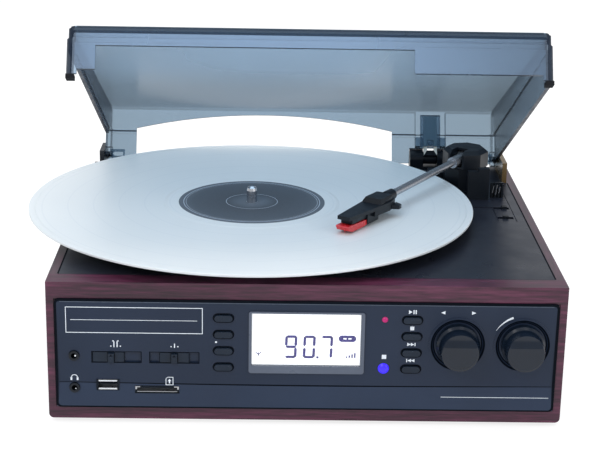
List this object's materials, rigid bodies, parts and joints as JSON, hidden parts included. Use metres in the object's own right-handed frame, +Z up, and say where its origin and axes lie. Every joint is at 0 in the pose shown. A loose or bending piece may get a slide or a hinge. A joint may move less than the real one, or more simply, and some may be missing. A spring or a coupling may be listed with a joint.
{
  "type": "stereo music centre",
  "caption": "Wooden-cased music centre with a belt-driven record player under a hinged smoky cover, radio display, knobs, keys, card sockets and a cassette slot in its side.",
  "frame": {"origin": "on the table plane, in the middle of the rectangle that the record, the knobs, the cabinet's right side and its eject key make seen from above", "axes": "+Z up from the table, -Y out of the front with the knobs, +X to the right seen from the front"},
  "size_m": [0.3492, 0.3063, 0.2372],
  "materials": {
    "wood": "satin lacquer, dark mahogany",
    "hardboard": "matt",
    "rubber": "matt",
    "screw": "bright",
    "black_satin": "satin",
    "black_gloss": "semi-gloss",
    "button": "satin",
    "frame_grey": "satin",
    "window": "clear",
    "lcd": "lit from behind",
    "board": "varnished",
    "steel": "zinc plated",
    "lamp": "translucent",
    "platter": "moulded",
    "record": "smooth with fine grooves",
    "brass": "turned",
    "tube": "satin tube",
    "red": "gloss",
    "cover": "smoky clear acrylic",
    "blade": "moulded",
    "ear": "translucent amber"
  },
  "bodies": {
    "cabinet": {"side_panel_left": "wood", "side_panel_right": "wood", "front_board": "wood", "rear_board": "hardboard", "bottom_board": "hardboard", "feet": "rubber", "bottom_screws": "screw", "deck": "black_satin", "fascia": "black_satin", "lcd_frame": "frame_grey", "lcd_window": "window", "lcd_module": "lcd", "control_board": "board", "jack_sockets": "black_gloss", "usb_socket": "steel", "card_socket": "steel", "indicators": "lamp", "main_board": "board", "transformer": "steel", "speakers": "black_gloss", "speaker_grilles": "black_satin", "motor": "steel", "spindle": "screw", "drive_belt": "rubber", "arm_pedestal": "black_satin", "arm_rest": "black_satin", "hinge_body": "black_satin", "hinge_ears": "ear", "cassette_frame": "black_satin", "cassette_tray": "steel", "rear_sockets": "steel", "cord_gland": "black_gloss"},
    "cover": {"dust_cover": "cover", "hinge_blade": "blade", "cover_bumpers": "rubber"},
    "turntable": {"platter": "platter", "slip_mat": "rubber", "record": "record"},
    "pulley": {"motor_pulley": "brass"},
    "arm_base": {"arm_housing": "black_satin"},
    "arm": {"arm_tube": "tube", "headshell": "black_gloss", "cartridge": "black_gloss", "stylus": "red"},
    "tuning": {"tuning_knob": "black_gloss"},
    "volume": {"volume_knob": "black_gloss"},
    "mode": {"mode_button": "button"},
    "program": {"program_button": "button"},
    "rec": {"record_button": "button"},
    "delete": {"delete_button": "button"},
    "play": {"play_button": "button"},
    "stop": {"stop_button": "button"},
    "next": {"next_button": "button"},
    "previous": {"previous_button": "button"},
    "function": {"function_switch": "black_satin"},
    "band": {"band_switch": "black_satin"},
    "speed": {"speed_switch": "black_satin"},
    "auto_stop": {"auto_stop_switch": "black_satin"},
    "door": {"cassette_door": "black_satin"},
    "eject": {"eject_button": "black_satin"}
  },
  "joints": [
    {"name": "cover_hinge", "type": "hinge", "parent": "cabinet", "child": "cover", "pos_m": [0.0122, 0.13145, 0.09915], "axis": [-1, 0, 0], "range_deg": [-27, 30]},
    {"name": "platter_spin", "type": "hinge", "parent": "cabinet", "child": "turntable", "pos_m": [-0.0238, 0.00235, 0.092], "axis": [0, 0, 1], "continuous": true},
    {"name": "pulley_spin", "type": "hinge", "parent": "cabinet", "child": "pulley", "pos_m": [-0.07999, -0.02385, 0.086], "axis": [0, 0, 1], "continuous": true},
    {"name": "arm_swing", "type": "hinge", "parent": "cabinet", "child": "arm_base", "pos_m": [0.1307, 0.07735, 0.1096], "axis": [0, 0, 1], "range_deg": [-11, 39.4]},
    {"name": "arm_lift", "type": "hinge", "parent": "arm_base", "child": "arm", "pos_m": [0.1307, 0.07735, 0.116], "axis": [-0.8348, 0.5505, 0], "range_deg": [0, 9]},
    {"name": "tuning_turn", "type": "hinge", "parent": "cabinet", "child": "tuning", "pos_m": [0.1043, -0.13665, 0.0546], "axis": [0, 1, 0], "range_deg": [-150, 150]},
    {"name": "volume_turn", "type": "hinge", "parent": "cabinet", "child": "volume", "pos_m": [0.144, -0.13665, 0.0546], "axis": [0, 1, 0], "range_deg": [-135, 135]},
    {"name": "mode_press", "type": "slide", "parent": "cabinet", "child": "mode", "axis": [0, 1, 0], "range_m": [0, 0.001], "stiffness_N_per_m": 400, "springref_m": -0.0005},
    {"name": "program_press", "type": "slide", "parent": "cabinet", "child": "program", "axis": [0, 1, 0], "range_m": [0, 0.001], "stiffness_N_per_m": 400, "springref_m": -0.0005},
    {"name": "rec_press", "type": "slide", "parent": "cabinet", "child": "rec", "axis": [0, 1, 0], "range_m": [0, 0.001], "stiffness_N_per_m": 400, "springref_m": -0.0005},
    {"name": "delete_press", "type": "slide", "parent": "cabinet", "child": "delete", "axis": [0, 1, 0], "range_m": [0, 0.001], "stiffness_N_per_m": 400, "springref_m": -0.0005},
    {"name": "play_press", "type": "slide", "parent": "cabinet", "child": "play", "axis": [0, 1, 0], "range_m": [0, 0.001], "stiffness_N_per_m": 400, "springref_m": -0.0005},
    {"name": "stop_press", "type": "slide", "parent": "cabinet", "child": "stop", "axis": [0, 1, 0], "range_m": [0, 0.001], "stiffness_N_per_m": 400, "springref_m": -0.0005},
    {"name": "next_press", "type": "slide", "parent": "cabinet", "child": "next", "axis": [0, 1, 0], "range_m": [0, 0.001], "stiffness_N_per_m": 400, "springref_m": -0.0005},
    {"name": "previous_press", "type": "slide", "parent": "cabinet", "child": "previous", "axis": [0, 1, 0], "range_m": [0, 0.001], "stiffness_N_per_m": 400, "springref_m": -0.0005},
    {"name": "function_slide", "type": "slide", "parent": "cabinet", "child": "function", "axis": [1, 0, 0], "range_m": [0, 0.006]},
    {"name": "band_slide", "type": "slide", "parent": "cabinet", "child": "band", "axis": [1, 0, 0], "range_m": [-0.003, 0.003]},
    {"name": "speed_slide", "type": "slide", "parent": "cabinet", "child": "speed", "axis": [1, 0, 0], "range_m": [-0.002, 0.002]},
    {"name": "auto_stop_slide", "type": "slide", "parent": "cabinet", "child": "auto_stop", "axis": [1, 0, 0], "range_m": [-0.004, 0]},
    {"name": "cassette_door_swing", "type": "hinge", "parent": "cabinet", "child": "door", "pos_m": [0.1686, 0.04935, 0.0488], "axis": [0, 1, 0], "range_deg": [0, 75], "stiffness_Nm_per_rad": 0.004, "springref_deg": -8.59},
    {"name": "eject_press", "type": "slide", "parent": "cabinet", "child": "eject", "axis": [-1, 0, 0], "range_m": [0, 0.003], "stiffness_N_per_m": 300, "springref_m": -0.0005}
  ],
  "couplings": [
    {"joint": "pulley_spin", "follows": "platter_spin", "ratio": 6.1163}
  ]
}
